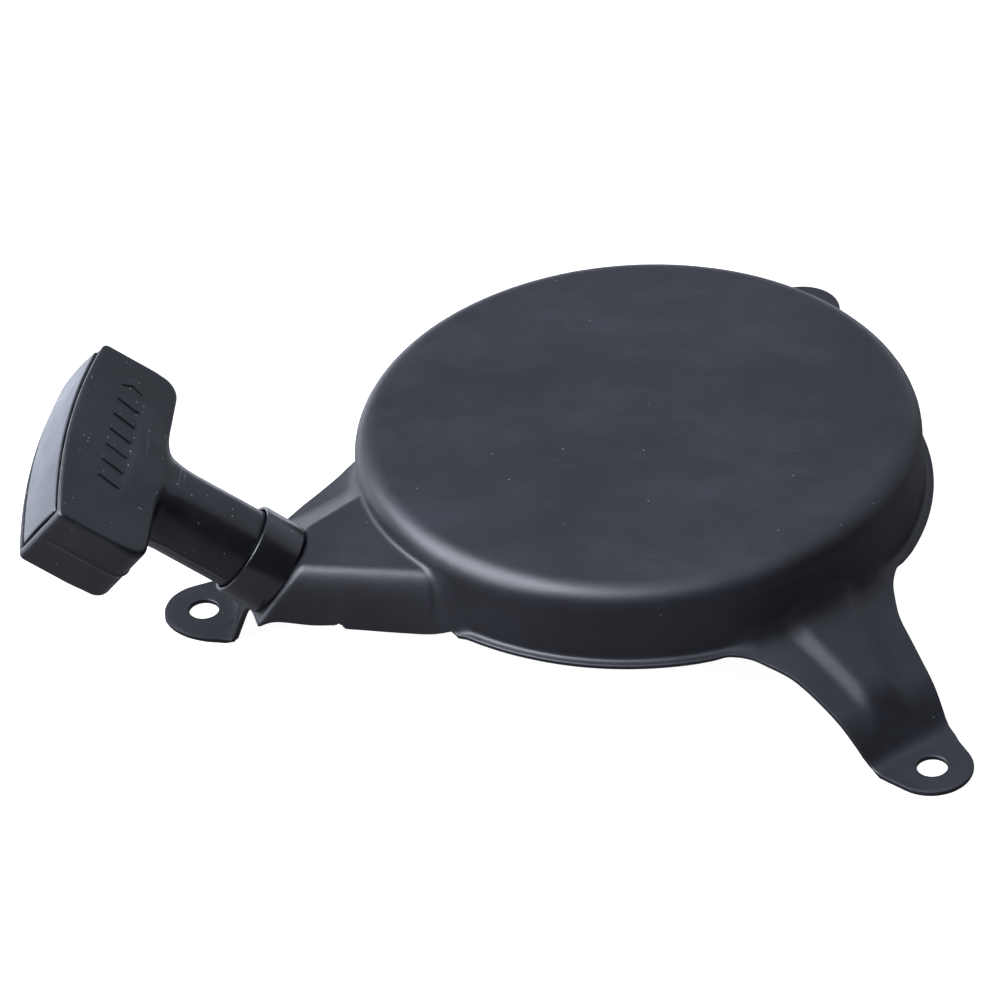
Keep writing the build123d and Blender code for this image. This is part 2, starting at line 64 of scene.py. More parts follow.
def add_camera():
    az, el, roll = radians(VIEW_AZIMUTH), radians(VIEW_ELEVATION), radians(VIEW_ROLL)
    forward = Vector((-sin(az) * cos(el), cos(az) * cos(el), -sin(el)))
    level = Vector((cos(az), sin(az), 0))
    lifted = level.cross(forward)
    right = level * cos(roll) + lifted * sin(roll)
    up = right.cross(forward)
    place = (Vector(VIEW_AIM) - forward * VIEW_DISTANCE) * MM
    camera = bpy.data.objects.new("camera", bpy.data.cameras.new("camera"))
    bpy.context.scene.collection.objects.link(camera)
    turn = Matrix((right, up, -forward)).transposed()
    camera.matrix_world = Matrix.Translation(place) @ turn.to_4x4()
    camera.data.lens = LENS
    camera.data.clip_start = 0.05
    camera.data.clip_end = 60
    bpy.context.scene.camera = camera


add_camera()

# ---------------------------------------------------------------- sizes, in millimetres
SHEET = 1.25
CUP_R = 66.0
CUP_TOP = 40.8
CUP_FILLET = 5.8
CUP_DRAFT = 0.5
LIP_R = 68.4
LIP_Z = 21.4
EAR_CIRCLE_R = 104.5
EAR_ANGLES = (-48.0, 72.0, 192.0)
EAR_HOLE_R = 3.5
FOOT_R = 9.3
# half of an arm's plan, from the lip to the foot, as (distance out, half width)
ARM_SIDE = ((66.9, 21.0), (70.0, 18.7), (75.0, 15.9), (80.0, 14.5), (86.8, 13.1), (91.0, 12.4), (93.8, 11.8),
            (96.5, 11.3), (99.4, 10.8), (102.0, 10.1))
ARM_LEAN = 0.4                      # an arm's outer part lies this much to one side of its middle line
TOWER_ARM_EXTRA = 1.2               # the arm beside the tower is wider by this near the cup, on its far side
ARM_SPREAD = (28.0, 16.5)           # degrees off an arm's middle between which the lip turns into the arm
FLANGE_PLACE = (75.0, 18.0)         # (distance out, height) of a point of the flange's slope
RISER_PLACE = (87.0, 13.0)          # and of one of the riser's slope
FLANGE_SLOPE = 0.577
RISER_SLOPE = 1.211
RISER_BLEND = 2.0
FOOT_BLEND = 1.8
RIB_HEIGHT = 2.0
RIB_FLANK = 3.0                     # width in plan of each slanting flank of the rib
RIB_FOOT = (10.1, 6.1)              # half width of the rib's foot at the cup's wall and at RISER_PLACE
RIB_FOOT_BLEND = 0.8
RIB_TOP_BLEND = 0.7
LIP_DROOP = 0.25                    # fall of the lip from the wall to its edge
LIP_LIFT = 0.8                      # the lip is higher by this in front, over these degrees round the cup
LIP_LIFT_ANGLES = (228.0, 240.0, 286.0, 302.0)
LIP_ANGLES = (27.0, 24.0, 21.2)     # degrees off an arm's middle where its edge still follows the lip

TILT = radians(37.7)
OUT = np.array((-cos(TILT), 0.0, sin(TILT)))
GUIDE_BASE = np.array((-80.6, -39.2, 26.6))
GUIDE_R = 11.1
GUIDE_LENGTH = 10.1
GUIDE_FLOOR = 3.0
SPIGOT_R = 7.0
TOWER_TOP = 34.4
FRONT_POINT = (-84.2, -53.3, 21.4)
FRONT_NORMAL = (-0.064, -0.936, 0.345)
FLANK_POINT = (-63.0, -21.0, TOWER_TOP)
FLANK_NORMAL = (-0.46, 0.42, 0.78)
END_TOE = (-94.1, 0.0, SHEET)
END_RISER = radians(71)
TOWER_FRONT_BLEND = 7.0
TOWER_FLANK_BLEND = 1.0
TOWER_END_BLEND = 2.4
TOWER_RISER_BLEND = 2.5
TOWER_FOOT_BLEND = 0.8
TOWER_CORNER = (-30.0, 6.0)         # the tower lies in the part of the plan below this x and y
FRONT_EDGE_Z = 20.2                 # the sheet's height along its edge in front of the tower
FRONT_EDGE_FROM = -145.0            # where that edge begins, in degrees round the cup
HANDLE_ROLL = 9.4
ROPE_R = 1.75


# ---------------------------------------------------------------- mesh helpers
def make_piece(name, points, faces, body, slot, replaced=(), sharp=40):
    """Mesh object from millimetre points, riding on a body, with its material."""
    mesh = bpy.data.meshes.new(name)
    mesh.from_pydata(np.asarray(points, float) * MM, [], faces)
    mesh.validate()
    mesh.polygons.foreach_set("use_smooth", np.ones(len(mesh.polygons), bool))
    mesh.set_sharp_from_angle(angle=radians(sharp))
    piece = bpy.data.objects.new(name, mesh)
    bpy.context.scene.collection.objects.link(piece)
    piece.data.materials.append(materials[slot])
    if body:
        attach(piece, body)
    if replaced:
        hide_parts(*replaced)
    return piece


def grid_faces(rows, columns, wrap_rows=False):
    """Quads of a grid whose points are stored row by row, and whose last column meets the first."""
    ids = np.arange(rows * columns).reshape(rows, columns)
    if wrap_rows:
        ids = np.vstack([ids, ids[:1]])
    ids = np.hstack([ids, ids[:, :1]])
    quads = np.stack([ids[:-1, :-1], ids[:-1, 1:], ids[1:, 1:], ids[1:, :-1]], -1)
    return quads.reshape(-1, 4)


def smooth_min(a, b, k):
    """The lesser of two heights or distances, blended over about k where they meet."""
    h = np.clip(0.5 + 0.5 * (b - a) / k, 0, 1)
    return b + (a - b) * h - k * h * (1 - h)


def smooth_max(a, b, k):
    return -smooth_min(-a, -b, k)


def ramp(low, high, x):
    """Smooth step from 0 at low to 1 at high."""
    t = np.clip((x - low) / (high - low), 0, 1)
    return t * t * (3 - 2 * t)


def outlet_axes(roll=0.0):
    """Axes of the outlet as rows: towards the sky, across, and outwards along the rope."""
    sky = np.array((sin(TILT), 0.0, cos(TILT)))
    x = sky * cos(radians(roll)) - np.array((0.0, 1.0, 0.0)) * sin(radians(roll))
    return np.array((x, np.cross(OUT, x), OUT))


def to_outlet(points, roll=0.0):
    """Points given in the outlet's frame, in the part's frame."""
    return np.asarray(points, float) @ outlet_axes(roll) + GUIDE_BASE


def through(points, steps=24):
    """Smooth line through the points (Catmull-Rom)."""
    p = np.asarray(points, float)
    p = np.vstack([2 * p[0] - p[1], p, 2 * p[-1] - p[-2]])
    t = np.linspace(0, 1, steps, endpoint=False)[:, None]
    runs = []
    for a, b, c, d in zip(p, p[1:], p[2:], p[3:]):
        squared = (2 * a - 5 * b + 4 * c - d) * t ** 2
        cubed = (3 * b - a - 3 * c + d) * t ** 3
        runs.append(0.5 * (2 * b + (c - a) * t + squared + cubed))
    return np.vstack([*runs, p[-2:-1]])


def lathe(name, profile, body, slot, replaced=(), sides=128, place=to_outlet):
    """Closed solid of revolution from (radius, height) points, about the outlet axis or placed elsewhere."""
    profile = np.asarray(profile, float)
    turn = np.linspace(0, 2 * pi, sides, endpoint=False)
    r, z = profile[:, 0][:, None], profile[:, 1][:, None]
    points = np.stack([r * np.cos(turn), r * np.sin(turn), z + 0 * turn], -1).reshape(-1, 3)
    faces = grid_faces(len(profile), sides, wrap_rows=True)
    return make_piece(name, place(points), faces.tolist(), body, slot, replaced)


def rounded(corners, radii, steps):
    """Closed outline with its corners turned into curves, each with its own radius."""
    corners = np.asarray(corners, float)
    line = []
    for i, (corner, r) in enumerate(zip(corners, radii)):
        before, after = corners[i - 1], corners[(i + 1) % len(corners)]
        to_a, to_b = before - corner, after - corner
        reach = min(r, 0.45 * np.linalg.norm(to_a), 0.45 * np.linalg.norm(to_b))
        a = corner + to_a / np.linalg.norm(to_a) * reach
        b = corner + to_b / np.linalg.norm(to_b) * reach
        t = np.linspace(0, 1, steps)[:, None] if reach > 0 else np.zeros((1, 1))
        line.append((1 - t) ** 2 * a + 2 * t * (1 - t) * corner + t ** 2 * b)
    return np.vstack(line)


def tube(path, radius, sides):
    """Closed tube round a line of points, without twist."""
    path = np.asarray(path, float)
    along = np.gradient(path, axis=0)
    along /= np.linalg.norm(along, axis=1)[:, None]
    side = np.cross(along[0], (0.3, 0.2, 1.0))
    rings = []
    for point, tangent in zip(path, along):
        side = side - tangent * (side @ tangent)
        side /= np.linalg.norm(side)
        other = np.cross(tangent, side)
        a = np.linspace(0, 2 * pi, sides, endpoint=False)[:, None]
        rings.append(point + radius * (np.cos(a) * side + np.sin(a) * other))
    faces = grid_faces(len(path), sides).tolist()
    last = (len(path) - 1) * sides
    faces += [list(range(sides))[::-1], list(range(last, last + sides))]
    return np.vstack(rings), faces


def surface_net(field, low, high, step):
    """Closed mesh of the surface where field(x, y, z) is nought."""
    # one point in each cell that the surface crosses, the mean of its crossings with the cell's edges
    axes = [np.arange(a, b + step, step) for a, b in zip(low, high)]
    grid = np.meshgrid(*axes, indexing="ij")
    d = field(*grid)
    inside = d < 0
    cells = tuple(n - 1 for n in d.shape)
    total, count = np.zeros(cells + (3,)), np.zeros(cells)
    for axis in range(3):
        for other in ((0, 0), (0, 1), (1, 0), (1, 1)):
            start = list(other)
            start.insert(axis, 0)
            end = list(other)
            end.insert(axis, 1)
            one = tuple(slice(s, s + n) for s, n in zip(start, cells))
            two = tuple(slice(s, s + n) for s, n in zip(end, cells))
            crossed = inside[one] != inside[two]
            a, b = d[one], d[two]
            share = np.where(crossed, a / np.where(crossed, a - b, 1), 0)
            at = np.stack(np.broadcast_arrays(*[np.full(cells, float(s)) for s in start]), -1)
            at[..., axis] += share
            total += at * crossed[..., None]
            count += crossed
    used = count > 0
    ids = np.full(cells, -1)
    ids[used] = np.arange(used.sum())
    base = np.stack(np.nonzero(used), -1)
    points = np.array(low) + (base + total[used] / count[used][:, None]) * step
    # one quad round each edge of the grid that the surface crosses
    quads = []
    for axis in range(3):
        u, v = (axis + 1) % 3, (axis + 2) % 3
        here = [slice(1, -1)] * 3
        here[axis] = slice(0, -1)
        there = list(here)
        there[axis] = slice(1, None)
        crossed = inside[tuple(here)] != inside[tuple(there)]
        spot = np.stack(np.nonzero(crossed), -1) + [0 if i == axis else 1 for i in range(3)]
        ring = []
        for du, dv in ((-1, -1), (0, -1), (0, 0), (-1, 0)):
            c = spot.copy()
            c[:, u] += du
            c[:, v] += dv
            ring.append(ids[c[:, 0], c[:, 1], c[:, 2]])
        quad = np.stack(ring, -1)
        flip = ~inside[tuple(here)][crossed]
        quad[flip] = quad[flip][:, ::-1]
        quads.append(quad)
    # the points are pulled onto the surface along the field's slope
    e = 0.05
    for _ in range(3):
        x, y, z = points.T
        value = field(x, y, z)
        moved = (field(x + e, y, z), field(x, y + e, z), field(x, y, z + e))
        slope = np.stack([there - value for there in moved], -1) / e
        shift = slope * (value / np.maximum((slope ** 2).sum(1), 0.2))[:, None]
        points -= np.clip(shift, -0.5 * step, 0.5 * step)
    return points, np.vstack(quads).tolist()


def cut(piece, cutters):
    """Takes the cutters' volumes out of a piece."""
    for cutter in cutters:
        taken = piece.modifiers.new("cut", "BOOLEAN")
        taken.operation = "DIFFERENCE"
        taken.solver = "EXACT"
        taken.object = cutter
    bpy.context.view_layer.update()
    solid = piece.evaluated_get(bpy.context.evaluated_depsgraph_get())
    piece.data = bpy.data.meshes.new_from_object(solid)
    piece.modifiers.clear()
    for cutter in cutters:
        bpy.data.objects.remove(cutter)


# ---------------------------------------------------------------- materials
class Surface:
    """Node material round one Principled shader, with short calls for the patterns used here."""

    def __init__(self, name, colour, roughness, metallic=0.0):
        self.material = bpy.data.materials.new(name)
        self.material.use_nodes = True
        self.nodes = self.material.node_tree.nodes
        self.links = self.material.node_tree.links
        self.shader = self.nodes["Principled BSDF"]
        self.set("Base Color", (*colour, 1))
        self.set("Roughness", roughness)
        self.set("Metallic", metallic)
        place = self.nodes.new("ShaderNodeTexCoord")
        self.coords, self.normal = place.outputs["Object"], place.outputs["Normal"]
        self.bump_out = None

    def set(self, socket, value):
        self.shader.inputs[socket].default_value = value

    def node(self, kind, **values):
        """New node; a value is a socket to link, a number for an input, or a setting of the node."""
        made = self.nodes.new("ShaderNode" + kind)
        for key, value in values.items():
            if key in made.inputs:
                if hasattr(value, "links"):
                    self.links.new(value, made.inputs[key])
                else:
                    made.inputs[key].default_value = value
            else:
                setattr(made, key, value)
        return made

    def stretched(self, scale, turn=(0, 0, 0)):
        mapping = self.node("Mapping", Vector=self.coords, Scale=scale, Rotation=turn)
        return mapping.outputs[0]

    def noise(self, scale, detail=3.0, rough=0.5, vector=None):
        vector = vector or self.coords
        made = self.node("TexNoise", Vector=vector, Scale=scale, Detail=detail, Roughness=rough)
        return made.outputs["Fac"]

    def fit(self, value, low, high, to_low=0.0, to_high=1.0):
        """Maps a range onto another, clamped."""
        made = self.nodes.new("ShaderNodeMapRange")
        self.links.new(value, made.inputs["Value"])
        for key, number in (("From Min", low), ("From Max", high), ("To Min", to_low), ("To Max", to_high)):
            made.inputs[key].default_value = number
        return made.outputs["Result"]

    def maths(self, operation, a, b):
        made = self.nodes.new("ShaderNodeMath")
        made.operation = operation
        for socket, value in zip(made.inputs, (a, b)):
            if hasattr(value, "links"):
                self.links.new(value, socket)
            else:
                socket.default_value = value
        return made.outputs[0]

    def specks(self, scale, size, share):
        """Small dots in a share of the cells of a Voronoi pattern."""
        cells = self.node("TexVoronoi", Vector=self.coords, Scale=scale)
        dot = self.fit(cells.outputs["Distance"], size, size * 0.6)
        split = self.node("SeparateColor", Color=cells.outputs["Color"])
        chosen = self.maths("LESS_THAN", split.outputs[0], share)
        return self.maths("MULTIPLY", dot, chosen)

    def hairlines(self, scale, turn, share):
        """Sparse thin lines in one direction."""
        line = self.noise(1.0, 2.0, 0.4, self.stretched(scale, turn))
        patch = self.fit(self.noise(45.0, 1.0), 0.6, 0.68)
        return self.maths("MULTIPLY", self.fit(line, 1 - share, 1 - share * 0.8), patch)

    def paint(self, mask, colour):
        """Mixes a colour over the base colour where the mask is 1."""
        mix = self.nodes.new("ShaderNodeMix")
        mix.data_type = "RGBA"
        socket = self.shader.inputs["Base Color"]
        self.links.new(mask, mix.inputs["Factor"])
        if socket.links:
            self.links.new(socket.links[0].from_socket, mix.inputs["A"])
        else:
            mix.inputs["A"].default_value = socket.default_value
        mix.inputs["B"].default_value = (*colour, 1)
        self.links.new(mix.outputs["Result"], socket)

    def roughen(self, value):
        self.links.new(value, self.shader.inputs["Roughness"])

    def bump(self, height, distance, strength):
        """Adds a relief, its full height in millimetres."""
        made = self.node("Bump", Strength=strength, Distance=distance * MM)
        self.links.new(height, made.inputs["Height"])
        if self.bump_out:
            self.links.new(self.bump_out, made.inputs["Normal"])
        self.bump_out = made.outputs["Normal"]
        self.links.new(self.bump_out, self.shader.inputs["Normal"])

    def edges(self, low, high):
        """1 on convex edges."""
        return self.fit(self.node("NewGeometry").outputs["Pointiness"], low, high)


def coated_steel():
    """Black baked coat: cloudy patches, a few specks and faint wipe marks, a fine orange peel."""
    s = Surface("coated_steel", (0.0034, 0.0036, 0.0055), 0.40)
    cloud = s.noise(1.0, 6.0, 0.68, s.stretched((26, 44, 26)))
    s.paint(s.fit(cloud, 0.42, 0.68, 0.0, 0.75), (0.0105, 0.0111, 0.0150))
    s.paint(s.fit(s.noise(60.0, 5.0, 0.65), 0.52, 0.74, 0.0, 0.8), (0.0018, 0.0019, 0.0030))
    s.paint(s.specks(430.0, 0.09, 0.06), (0.12, 0.125, 0.135))
    s.paint(s.hairlines((60, 900, 60), (0.0, 0.0, 0.9), 0.35), (0.012, 0.0127, 0.0175))
    s.roughen(s.fit(s.noise(14.0, 6.0, 0.65), 0.3, 0.7, 0.375, 0.515))
    s.bump(s.noise(1100.0, 2.0), 0.06, 0.55)
    s.bump(s.noise(300.0, 2.0), 0.06, 0.30)
    return s.material


def moulded(name, colour, light, roughness, grain, dust):
    """Moulded black rubber or plastic: flow marks, scuffs, dust and a fine grain."""
    s = Surface(name, colour, roughness)
    flow = s.noise(1.0, 5.0, 0.6, s.stretched((30, 90, 45), (0.6, 0.2, 0.9)))
    s.paint(s.fit(flow, 0.42, 0.70, 0.0, 0.9), light)
    s.paint(s.fit(s.noise(300.0, 4.0, 0.7), 0.60, 0.72, 0.0, 0.6), light)
    s.paint(s.specks(600.0, 0.10, dust), (0.26, 0.265, 0.28))
    s.paint(s.hairlines((900, 60, 60), (0.3, 0.5, 0.2), 0.36), (0.05, 0.052, 0.058))
    s.roughen(s.fit(s.noise(70.0, 5.0, 0.65), 0.3, 0.7, roughness - 0.07, roughness + 0.09))
    s.bump(s.noise(1500.0, 2.0), 0.04, grain)
    s.bump(s.noise(120.0, 3.0), 0.12, 0.25)
    return s


def metal(name, colour, roughness, stain, wear=None):
    """Bare or plated metal: brushed or drawn lines, stains and brighter edges."""
    s = Surface(name, colour, roughness, 1.0)
    s.paint(s.fit(s.noise(70.0, 5.0, 0.6), 0.45, 0.7, 0.0, 0.7), stain)
    if wear:
        s.paint(s.edges(0.51, 0.56), wear)
    line = s.noise(1.0, 3.0, 0.6, s.stretched((40, 40, 1500)))
    s.roughen(s.fit(line, 0.3, 0.7, roughness - 0.08, roughness + 0.12))
    s.bump(line, 0.03, 0.35)
    s.bump(s.noise(350.0, 3.0), 0.03, 0.25)
    return s.material


def guide_plastic():
    """Glossier plastic of the collar."""
    s = moulded("guide_plastic", (0.0060, 0.0062, 0.0072), (0.0085, 0.0088, 0.0105), 0.24, 0.12, 0.15)
    s.set("Coat Weight", 0.25)
    s.set("Coat Roughness", 0.12)
    return s.material


def grip_rubber():
    s = moulded("grip_rubber", (0.0025, 0.0028, 0.0040), (0.0085, 0.0092, 0.0120), 0.34, 0.25, 0.45)
    return s.material


def cap_plastic():
    """Grey insert whose sides, seen in the gap round it, are darkened with painted shade for the shadow in
    that gap.
    """
    s = moulded("cap_plastic", (0.030, 0.0335, 0.040), (0.040, 0.0445, 0.052), 0.40, 0.35, 0.2)
    facing = s.node("VectorMath", operation="DOT_PRODUCT")
    s.links.new(s.normal, facing.inputs[0])
    facing.inputs[1].default_value = OUT
    # painted shade: faces turned away from the outlet axis (the insert's sides, down in the gap) are painted
    # near black to stand in for the gap's shadow
    s.paint(s.fit(facing.outputs["Value"], 0.8, 0.55), (0.0015, 0.0016, 0.0020))
    return s.material


def reel_plastic():
    s = moulded("reel_plastic", (0.028, 0.029, 0.031), (0.038, 0.039, 0.041), 0.44, 0.3, 0.05)
    s.paint(s.fit(s.noise(18.0, 3.0), 0.55, 0.75, 0.0, 0.4), (0.055, 0.052, 0.048))
    return s.material


def bush_bronze():
    s = Surface("bush_bronze", (0.52, 0.33, 0.15), 0.38, 1.0)
    s.paint(s.fit(s.noise(300.0, 5.0, 0.7), 0.5, 0.7, 0.0, 0.8), (0.30, 0.18, 0.08))
    s.roughen(s.fit(s.noise(500.0, 4.0), 0.3, 0.7, 0.3, 0.55))
    s.bump(s.noise(1200.0, 3.0), 0.05, 0.5)
    return s.material


def rope_fibre():
    """Braided nylon: crossing strands as fine diagonal waves along the rope, painted shade in the grooves
    between them, and fuzz.
    """
    s = Surface("rope", (0.30, 0.30, 0.285), 0.75)
    s.set("Sheen Weight", 0.35)
    s.set("Sheen Roughness", 0.4)
    waves = []
    for turn in ((0.0, 0.0, 0.9), (0.0, 0.9, 0.0), (0.9, 0.0, -0.6)):
        vector = s.stretched((1, 1, 1), turn)
        wave = s.node("TexWave", Vector=vector, Scale=330.0, Distortion=1.2, Detail=1.0)
        waves.append(wave.outputs["Fac"])
    crossing = s.maths("MULTIPLY", waves[0], waves[1])
    weave = s.maths("MAXIMUM", crossing, s.maths("MULTIPLY", waves[2], 0.7))
    # painted shade: darker where the weave is low, in the grooves between the strands that the bump below
    # sinks
    s.paint(s.fit(weave, 0.5, 0.05, 0.0, 0.85), (0.13, 0.125, 0.115))
    s.paint(s.fit(s.noise(90.0, 4.0, 0.6), 0.55, 0.75, 0.0, 0.6), (0.20, 0.185, 0.165))
    s.bump(weave, 0.28, 0.9)
    s.bump(s.noise(2500.0, 2.0), 0.05, 0.6)
    return s.material


def plain_steel():
    return metal("plain_steel", (0.40, 0.40, 0.41), 0.34, (0.27, 0.265, 0.26))


def zinc_steel():
    return metal("zinc_steel", (0.62, 0.61, 0.56), 0.30, (0.46, 0.45, 0.38), (0.72, 0.72, 0.72))


def spring_steel():
    return metal("spring_steel", (0.24, 0.25, 0.28), 0.28, (0.15, 0.13, 0.12))


def hard_steel():
    return metal("hard_steel", (0.30, 0.29, 0.28), 0.36, (0.20, 0.17, 0.14), (0.5, 0.5, 0.5))


MATERIALS = {
    "coated_steel": coated_steel,
    "plain_steel": plain_steel,
    "zinc_steel": zinc_steel,
    "spring_steel": spring_steel,
    "hard_steel": hard_steel,
    "guide_plastic": guide_plastic,
    "reel_plastic": reel_plastic,
    "bush_bronze": bush_bronze,
    "rope": rope_fibre,
    "grip_rubber": grip_rubber,
    "cap_plastic": cap_plastic,
}
materials = {name: make() for name, make in MATERIALS.items()}


CAD_BEVEL = 0.15
WELD_REACH = 0.001
SOFT_EDGE_ANGLE = 35                # edges sharper than this many degrees are bevelled


def dress_cad_nodes():
    """Gives each CAD node that stays its material, welded facets and slightly rounded edges."""
    for entry in frame["record"]["subparts"]:
        node = frame["nodes"][entry["node"]]
        node.data.materials.clear()
        node.data.materials.append(materials[entry["material_slot"]])
        weld = node.modifiers.new("weld", "WELD")
        weld.merge_threshold = WELD_REACH * MM
        soft = node.modifiers.new("soft", "BEVEL")
        soft.width = CAD_BEVEL * MM
        soft.segments = 2
        soft.limit_method = "ANGLE"
        soft.angle_limit = radians(SOFT_EDGE_ANGLE)
        soft.harden_normals = True


dress_cad_nodes()


# ---------------------------------------------------------------- housing
COLUMNS = 620
DENSE_ANGLES = (211, 223)           # degrees round the cup, at the tower's corner, where columns lie closer
DENSE_GAIN = 1.2
EVEN_SHARE = 0.8                    # how far columns are spaced by angle and not by the edge's length
EDGE_SAMPLES = 40001
FLAT_RINGS = (22.0, 45.0)
UPPER_ROWS = 20
CORNER_ROWS = 7
OUTER_ROWS = 40
SAMPLES = 160                       # of a column's height, from which its rows are placed
FINE_SAMPLES = 200
CORNER_REACH = ((21.6, 25.0, 32.0, 34.2), (3.0, 4.6, 4.6, 1.6))     # size of the wall's corner by its height
RIM_ROUND = 0.4
HOLE_ROUND = 0.35
HOLE_CUTTER_REACH = (-2.0, 4.0)
NOTCH = (-65.5, 0.4, 0.9)           # in the tower's front edge: place, depth, half width
CUTTER_REACH = (-6.0, 4.0)          # the outlet's cutter along the outlet axis


def plane_height(point, normal, x, y):
    """Height over (x, y) of the plane through a point with a normal."""
    nx, ny, nz = normal
    return point[2] - (nx * (x - point[0]) + ny * (y - point[1])) / nz


def arm_height(r, t):
    """Top surface of an arm at a distance out along it and across it."""
    reach = r + (np.hypot(r, t) - r) * ramp(80, 68, r)   # near the wall the flange follows the cup
    flange = FLANGE_PLACE[1] - FLANGE_SLOPE * (reach - FLANGE_PLACE[0])
    riser = RISER_PLACE[1] - RISER_SLOPE * (r - RISER_PLACE[0])
    wall = CUP_R + CUP_DRAFT
    half = RIB_FOOT[0] + (RIB_FOOT[1] - RIB_FOOT[0]) * (r - wall) / (RISER_PLACE[0] - wall)
    side = RIB_HEIGHT * (half - np.abs(t)) / RIB_FLANK
    rib = smooth_min(smooth_max(side, 0 * side, RIB_FOOT_BLEND), RIB_HEIGHT + 0 * side, RIB_TOP_BLEND)
    raised = smooth_min(flange + rib, riser, RISER_BLEND)
    return smooth_max(raised, SHEET + 0 * raised, FOOT_BLEND)


def tower_height(x, y):
    """Top surface of the tower under the rope outlet."""
    front = plane_height(FRONT_POINT, FRONT_NORMAL, x, y)
    flank = plane_height(FLANK_POINT, FLANK_NORMAL, x, y)
    end = plane_height(GUIDE_BASE, OUT, x, y)
    riser = plane_height(END_TOE, (-sin(END_RISER), 0.0, cos(END_RISER)), x, y)
    height = smooth_min(TOWER_TOP + 0 * x, front, TOWER_FRONT_BLEND)
    height = smooth_min(height, flank, TOWER_FLANK_BLEND)
    height = smooth_min(height, end, TOWER_END_BLEND)
    return smooth_min(height, riser, TOWER_RISER_BLEND)


def sheet_height(x, y):
    """Top surface of the pressing outside the cup's wall."""
    angle = np.degrees(np.arctan2(y, x))
    begin, full, fading, end = LIP_LIFT_ANGLES
    lifted = ramp(begin, full, angle % 360) * ramp(end, fading, angle % 360)
    height = LIP_Z + LIP_LIFT * lifted - LIP_DROOP * ramp(CUP_R + CUP_DRAFT, LIP_R, np.hypot(x, y))
    for place in EAR_ANGLES:
        a = radians(place)
        along, side = x * cos(a) + y * sin(a), -x * sin(a) + y * cos(a)
        off = np.abs((angle - place + 180) % 360 - 180)
        arm = arm_height(along, side)
        height = height + (arm - height) * ramp(*ARM_SPREAD, off)
    front_edge = ramp(-42, -52, x) * ramp(-44, -50, y)
    height = height + (FRONT_EDGE_Z - height) * np.where(angle < FRONT_EDGE_FROM, 0, front_edge)
    by_tower = (x < TOWER_CORNER[0]) & (y < TOWER_CORNER[1])
    return np.where(by_tower, smooth_max(height, tower_height(x, y), TOWER_FOOT_BLEND), height)


def on_circle(radius, angles):
    """Points on a circle about the cup's axis, at some degrees."""
    return [(radius * cos(radians(d)), radius * sin(radians(d))) for d in angles]


def arm_edge(place, sign, wider=0.0):
    """Edge of one side of an arm in plan, from the lip to the foot's tip."""
    foot_start = (EAR_CIRCLE_R + 1.5, FOOT_R - 0.12)
    line = through([*on_circle(LIP_R, LIP_ANGLES), *ARM_SIDE, foot_start])
    foot = np.linspace(pi / 2 - 0.17, 0, 16)
    tip = np.stack([EAR_CIRCLE_R + FOOT_R * np.cos(foot), FOOT_R * np.sin(foot)], -1)
    local = np.vstack([line, tip])
    x = local[:, 0]
    outer_part = ramp(72, 84, x) * ramp(102, 98, x)
    root = ramp(64, 68, x) * ramp(92, 74, x)
    y = (local[:, 1] + wider * root) * sign + ARM_LEAN * outer_part
    a = radians(place)
    return np.stack([x * cos(a) - y * sin(a), x * sin(a) + y * cos(a)], -1)


def plan_edge():
    """Plan of the pressing's edge, turning from the first ear to the last and back to it."""
    tower_foot = [(-110.9, -25.6), (-108.9, -28.4), (-105.4, -31.0), (-101.2, -32.5), (-97.6, -32.9)]
    corner = [(-95.0, -33.3), (-92.9, -34.0), (-91.4, -35.2), (-90.3, -36.9), (-88.9, -39.8), (-87.3, -44.0),
              (-85.7, -49.4)]
    front_line = [(-84.8, -52.7), (-84.2, -53.4), (-80.0, -53.4), (-72.0, -54.1), (-66.6, -54.4),
                  (-65.4, -54.7), (-60.0, -55.15), (-50.0, -55.95), (-44.0, -56.35), (-39.6, -56.35)]
    pieces = []
    for place in EAR_ANGLES[:2]:
        pieces += [arm_edge(place, -1), arm_edge(place, 1)[::-1]]
    pieces += [arm_edge(EAR_ANGLES[2], -1, TOWER_ARM_EXTRA), through(tower_foot, 8), through(corner, 8)]
    pieces += [through(front_line, 6), on_circle(LIP_R - 0.3, (238.0, 244.0, 252.0))]
    return np.vstack(pieces)


def edge_radius():
    """Directions of the columns and the edge's radius in each, closer together where the edge is long."""
    line = plan_edge()
    angle = np.unwrap(np.arctan2(line[:, 1], line[:, 0]))
    radius = np.hypot(line[:, 0], line[:, 1])
    order = np.argsort(angle)
    angle, radius = angle[order], radius[order]
    fine = np.linspace(angle[0], angle[0] + 2 * pi, EDGE_SAMPLES)
    r = np.interp(fine, np.append(angle, angle[0] + 2 * pi), np.append(radius, radius[0]))
    run = np.hypot(np.diff(r), r[1:] * np.diff(fine))
    degrees_round = np.degrees(fine[1:]) % 360
    extra = 1 + DENSE_GAIN * np.isin(np.round(degrees_round), np.arange(*DENSE_ANGLES))
    share = np.concatenate([[0], np.cumsum((run + EVEN_SHARE * LIP_R * np.diff(fine)) * extra)])
    wanted = np.linspace(0, share[-1], COLUMNS, endpoint=False)
    columns = np.interp(wanted, share, fine)
    edge = np.interp(columns, fine, r)
    x = edge * np.cos(columns)
    along_front = (edge * np.sin(columns) < -52) & (x < -50)
    place, depth, half = NOTCH
    edge -= np.where(along_front, depth * np.exp(-((x - place) / half) ** 4), 0)
    return columns, edge


def cup_line():
    """Section of the cup from its flat top to under the lip, as (radius, height)."""
    a = np.linspace(0, pi / 2, 24)
    centre = (CUP_R - CUP_FILLET, CUP_TOP - CUP_FILLET)
    arc = centre + CUP_FILLET * np.stack([np.sin(a), np.cos(a)], -1)
    foot = (CUP_R + CUP_DRAFT, LIP_Z - 4)
    wall = np.linspace(arc[-1], foot, 40)[1:]
    return np.vstack([arc, wall])


